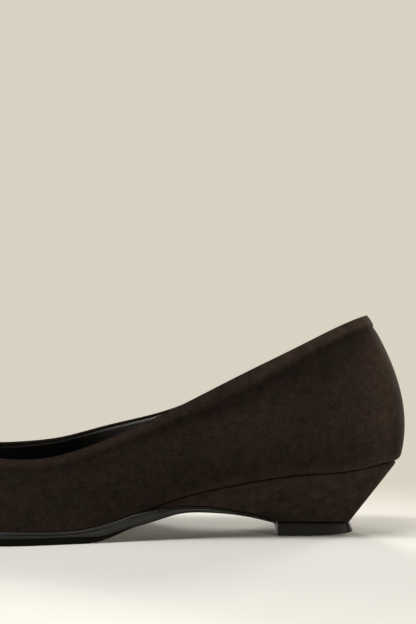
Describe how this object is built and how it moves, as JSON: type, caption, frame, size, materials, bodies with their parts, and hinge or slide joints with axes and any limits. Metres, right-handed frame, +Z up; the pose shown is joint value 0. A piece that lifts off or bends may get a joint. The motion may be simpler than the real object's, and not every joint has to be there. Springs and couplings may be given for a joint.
{
  "type": "low wedge court shoe",
  "caption": "Slip-on court shoe for the right foot: suede shell open at collar and throat, thin sole with toe spring, low sculpted wedge heel on a rubber tip.",
  "frame": {"origin": "middle of the underside of the shoe's box, on the floor", "axes": "+Z up, the toe points along -X, the inner (big toe) side faces -Y"},
  "size_m": [0.2486, 0.0862, 0.0858],
  "materials": {
    "suede": "dark brown suede with a short mottled nap",
    "heel_suede": "the same dark brown suede, stretched over the wedge",
    "sock_leather": "smooth black leather",
    "sole_black": "black, with a soft gloss on its edge",
    "tip_rubber": "matt black"
  },
  "bodies": {
    "root": {"upper": "suede", "insole": "sock_leather", "outsole": "sole_black", "heel": "heel_suede", "top_piece": "tip_rubber"}
  },
  "joints": []
}
